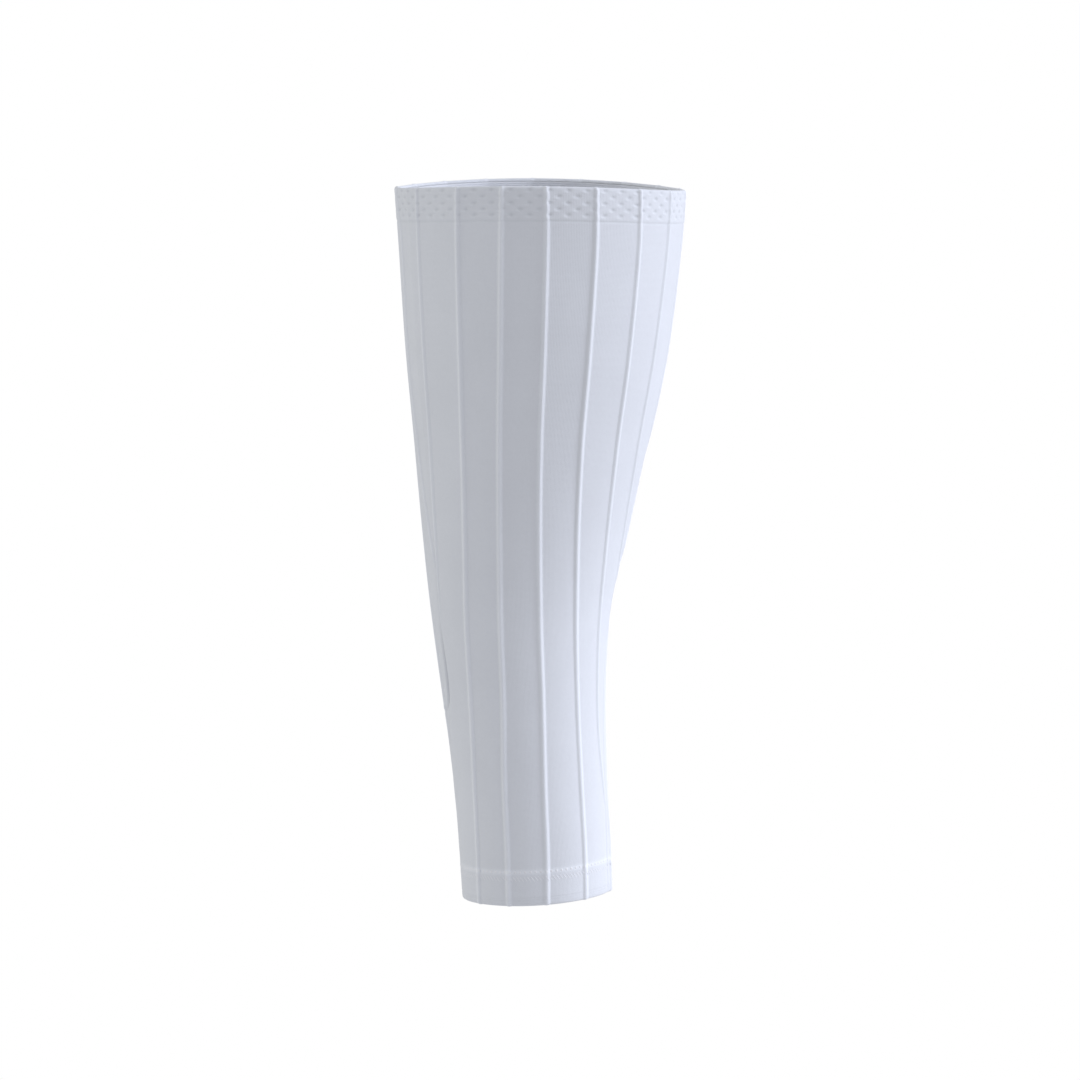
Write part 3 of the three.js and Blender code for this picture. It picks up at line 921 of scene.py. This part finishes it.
class SleeveLight(bpy.types.PropertyGroup):
    """The studio"""
    ambient: strength_of("Ambient", "Strength of the even light all round", 0.57)
    key: strength_of("Key", "Strength of the main light, on the calf's side", 2.11)
    rim: strength_of("Rim", "Strength of the weak light on the shin's side", 0.5)
    ankle: strength_of("Ankle", "Power of the soft spot on the ankle's half", 12.0, "POWER")


# ---------------- studio

def look_from(item, centre, distance, azimuth, elevation):
    """Puts a lamp or camera at a distance from a point, at degrees round the sleeve and above the
    horizon, so that it looks at that point."""
    turn, rise = math.radians(azimuth), math.radians(elevation)
    away = (math.sin(turn) * math.cos(rise), -math.cos(turn) * math.cos(rise), math.sin(rise))
    item.location = tuple(np.array(centre) + distance * np.array(away))
    item.rotation_euler = (math.radians(90 - elevation), 0.0, turn)
    bpy.context.scene.collection.objects.link(item)


def add_far_lamp(kind, strength):
    """A soft lamp so far off that its light is the same all over the sleeve."""
    lamp = bpy.data.lights.new(kind.name, "SUN")
    lamp.energy = strength
    lamp.angle = math.radians(kind.softness)
    lamp.color = kind.colour
    centre = (0.0, 0.0, 0.0)
    look_from(bpy.data.objects.new(kind.name, lamp), centre, 1.0, kind.azimuth, kind.elevation)


def add_spot(name, power):
    """A spot whose pool fades from its centre to its edge."""
    spot = bpy.data.lights.new(name, "SPOT")
    spot.energy = power
    spot.color = COOL_LIGHT
    spot.spot_size = 2 * math.atan(SPOT_POOL / SPOT_DISTANCE)
    spot.spot_blend = 1.0
    spot.shadow_soft_size = SPOT_SOFTNESS
    look_from(bpy.data.objects.new(name, spot), SPOT_CENTRE, SPOT_DISTANCE, SPOT_AZIMUTH, 0.0)


def add_camera(name):
    """The camera of the photograph, whose lens takes in VIEW_WIDTH at VIEW_DISTANCE."""
    camera = bpy.data.cameras.new(name)
    camera.sensor_width = SENSOR
    camera.lens = SENSOR * VIEW_DISTANCE / VIEW_WIDTH
    view = bpy.data.objects.new(name, camera)
    look_from(view, VIEW_CENTRE, VIEW_DISTANCE, 0.0, VIEW_PITCH)
    bpy.context.scene.camera = view


def add_air(name, strength):
    """Even light from all round."""
    world = bpy.data.worlds.new(name)
    world.use_nodes = True
    air = world.node_tree.nodes["Background"]
    air.inputs["Color"].default_value = AIR_COLOUR
    air.inputs["Strength"].default_value = strength
    bpy.context.scene.world = world


def glow(name, colour):
    """A material that only shines."""
    material = bpy.data.materials.new(name)
    material.use_nodes = True
    tree = material.node_tree
    tree.nodes.clear()
    shine = tree.nodes.new("ShaderNodeEmission")
    shine.inputs["Color"].default_value = colour
    output = tree.nodes.new("ShaderNodeOutputMaterial")
    tree.links.new(shine.outputs[0], output.inputs["Surface"])
    return material


def add_backdrop(name, points, triangles, material):
    """A part of the studio that the camera sees and that neither lights nor shades the sleeve."""
    mesh = bpy.data.meshes.new(name)
    mesh.from_pydata(points.tolist(), [], triangles.tolist())
    mesh.materials.append(material)
    backdrop = bpy.data.objects.new(name, mesh)
    bpy.context.scene.collection.objects.link(backdrop)
    backdrop.visible_diffuse = False
    backdrop.visible_glossy = False
    backdrop.visible_shadow = False


def add_dome(name, material):
    """A sphere round the whole studio."""
    turn = np.linspace(0, 2 * math.pi, DOME_SIDES, endpoint=False)
    rise = np.linspace(-math.pi / 2, math.pi / 2, DOME_RINGS)[:, None]
    sphere = np.stack([np.cos(rise) * np.cos(turn), np.cos(rise) * np.sin(turn),
                       np.sin(rise) * np.ones(DOME_SIDES)], -1)
    points = (DOME_RADIUS * sphere).reshape(-1, 3)
    add_backdrop(name, points, closed_tube(DOME_RINGS, DOME_SIDES), material)


def add_floor(name, material):
    """A square whose sides stand as far out as the dome does at the floor's height."""
    reach = math.sqrt(DOME_RADIUS ** 2 - FLOOR_HEIGHT ** 2)
    sides = ((-reach, -reach), (reach, -reach), (reach, reach), (-reach, reach))
    corners = np.array([(x, y, FLOOR_HEIGHT) for x, y in sides])
    add_backdrop(name, corners, np.array([[0, 1, 2], [0, 2, 3]]), material)


# ---------------- operators

class SLEEVE_OT_knit_panels(bpy.types.Operator):
    """Builds the two ribbed knit panels"""
    bl_idname = "sleeve.knit_panels"
    bl_label = "Knit Panels"

    def execute(self, context):
        knit = context.scene.sleeve_knit
        material = knit_finish("white_rib_knit", knit)
        for panel in (OUTER, INNER):
            build_panel(panel, knit, material)
        return {"FINISHED"}


class SLEEVE_OT_grip_band(bpy.types.Operator):
    """Builds the elastic band inside the top edge and its silicone dots"""
    bl_idname = "sleeve.grip_band"
    bl_label = "Grip Band"

    def execute(self, context):
        trim = context.scene.sleeve_trim
        span = ((KNIT_WALL + LAYER_GAP + BAND_WALL) / 2 + EDGE_GAP, BAND_DEPTH)
        material = elastic_finish("white_grip_elastic", tuple(trim.band_colour))
        band = build_ring("grip_band_elastic", "grip_band", span, BAND_WALL, BAND_COLUMNS,
                          material)
        row = np.repeat(np.arange(1, len(DOT_ROWS)), DOTS_ROUND)
        number = np.tile(np.arange(DOTS_ROUND), len(DOT_ROWS) - 1)
        degrees = (number + DOT_PHASE + 0.5 * (row % 2)) / DOTS_ROUND * TURN
        down = np.array(DOT_ROWS)[row] / SLEEVE_LENGTH
        inner_face = -KNIT_WALL - LAYER_GAP - BAND_WALL
        frames = surface_frame(down, degrees, lambda *_: inner_face)
        sizes = (trim.dot_width / 2, trim.dot_width * DOT_HALF_HEIGHT, trim.dot_height)
        silicone = silicone_finish("clear_silicone", tuple(trim.dot_colour))
        dots = build_beads("grip_dots", frames, sizes, 0.0, DOT_SIDES, silicone)
        declare_ring(span)
        return {"FINISHED"}


class SLEEVE_OT_ankle_hem(bpy.types.Operator):
    """Builds the turned-up layer of the hem and its two rows of stitches"""
    bl_idname = "sleeve.ankle_hem"
    bl_label = "Ankle Hem"

    def execute(self, context):
        knit, trim = context.scene.sleeve_knit, context.scene.sleeve_trim
        edge = (KNIT_WALL + LAYER_GAP + HEM_WALL) / 2 + EDGE_GAP
        span = (SLEEVE_LENGTH - HEM_DEPTH, SLEEVE_LENGTH - edge)
        material = knit_finish("white_hem_knit", knit)
        hem = build_ring("ankle_hem_turnup", "ankle_hem", span, HEM_WALL, HEM_COLUMNS,
                         material)
        thread = thread_finish("white_sewing_thread", tuple(trim.thread_colour))
        thin, stroke = trim.thread_width / 2, STROKE_LENGTH * trim.stitch_pitch
        proud, bead = STITCH_RISE * thin, BEAD_SIZE * thin
        upper = build_stitches("hem_stitches_upper", STITCH_ROWS[0], trim.stitch_pitch, BEAD_SLANT,
                               (bead, bead, proud), knit, thread)
        lower = build_stitches("hem_stitches_lower", STITCH_ROWS[1], stroke, STROKE_SLANT,
                               (stroke, thin, proud), knit, thread)
        declare_ring(span)
        return {"FINISHED"}


class SLEEVE_OT_seams(bpy.types.Operator):
    """Builds the overlocked allowances inside the two seams"""
    bl_idname = "sleeve.seams"
    bl_label = "Seams"

    def execute(self, context):
        colour = tuple(context.scene.sleeve_trim.thread_colour)
        thread = thread_finish("white_overlock_thread", colour)
        declare_panel(OUTER, build_allowance("shin_seam_allowance", "shin_seam", thread))
        declare_panel(INNER, build_allowance("calf_seam_allowance", "calf_seam", thread))
        return {"FINISHED"}


class SLEEVE_OT_stage(bpy.types.Operator):
    """Builds the white studio, its soft lights and the camera"""
    bl_idname = "sleeve.stage"
    bl_label = "Studio"

    def execute(self, context):
        light = context.scene.sleeve_light
        context.scene.view_settings.view_transform = "Standard"
        add_air("studio_air", light.ambient)
        add_dome("backdrop", glow("studio_white", DOME_COLOUR))
        add_floor("floor", glow("pale_floor", FLOOR_COLOUR))
        add_far_lamp(KEY_LAMP, light.key)
        add_far_lamp(RIM_LAMP, light.rim)
        add_spot("ankle_lamp", light.ankle)
        add_camera("photo_view")
        return {"FINISHED"}


GROUPS = {"sleeve_knit": SleeveKnit, "sleeve_trim": SleeveTrim, "sleeve_light": SleeveLight}
PIECES = (SLEEVE_OT_knit_panels, SLEEVE_OT_grip_band, SLEEVE_OT_ankle_hem, SLEEVE_OT_seams,
          SLEEVE_OT_stage)


class SLEEVE_PT_sidebar(bpy.types.Panel):
    """Lists the pieces of the sleeve and what can be changed"""
    bl_idname = "SLEEVE_PT_sidebar"
    bl_label = "Calf Compression Sleeve"
    bl_space_type = "VIEW_3D"
    bl_region_type = "UI"
    bl_category = "Sleeve"

    def draw(self, context):
        for group_name in GROUPS:
            group, box = getattr(context.scene, group_name), self.layout.box()
            for name in group.bl_rna.properties.keys():
                if name not in ("rna_type", "name"):
                    box.prop(group, name)
        for piece in PIECES:
            self.layout.operator(piece.bl_idname)


def register():
    for group_name, group in GROUPS.items():
        bpy.utils.register_class(group)
        setattr(bpy.types.Scene, group_name, bpy.props.PointerProperty(type=group))
    for item in (*PIECES, SLEEVE_PT_sidebar):
        bpy.utils.register_class(item)


def unregister():
    for item in (SLEEVE_PT_sidebar, *reversed(PIECES)):
        bpy.utils.unregister_class(item)
    for group_name, group in GROUPS.items():
        delattr(bpy.types.Scene, group_name)
        bpy.utils.unregister_class(group)


def main():
    register()
    bpy.ops.sleeve.stage()
    bpy.ops.sleeve.knit_panels()
    bpy.ops.sleeve.grip_band()
    bpy.ops.sleeve.ankle_hem()
    bpy.ops.sleeve.seams()


if __name__ == "__main__":
    main()
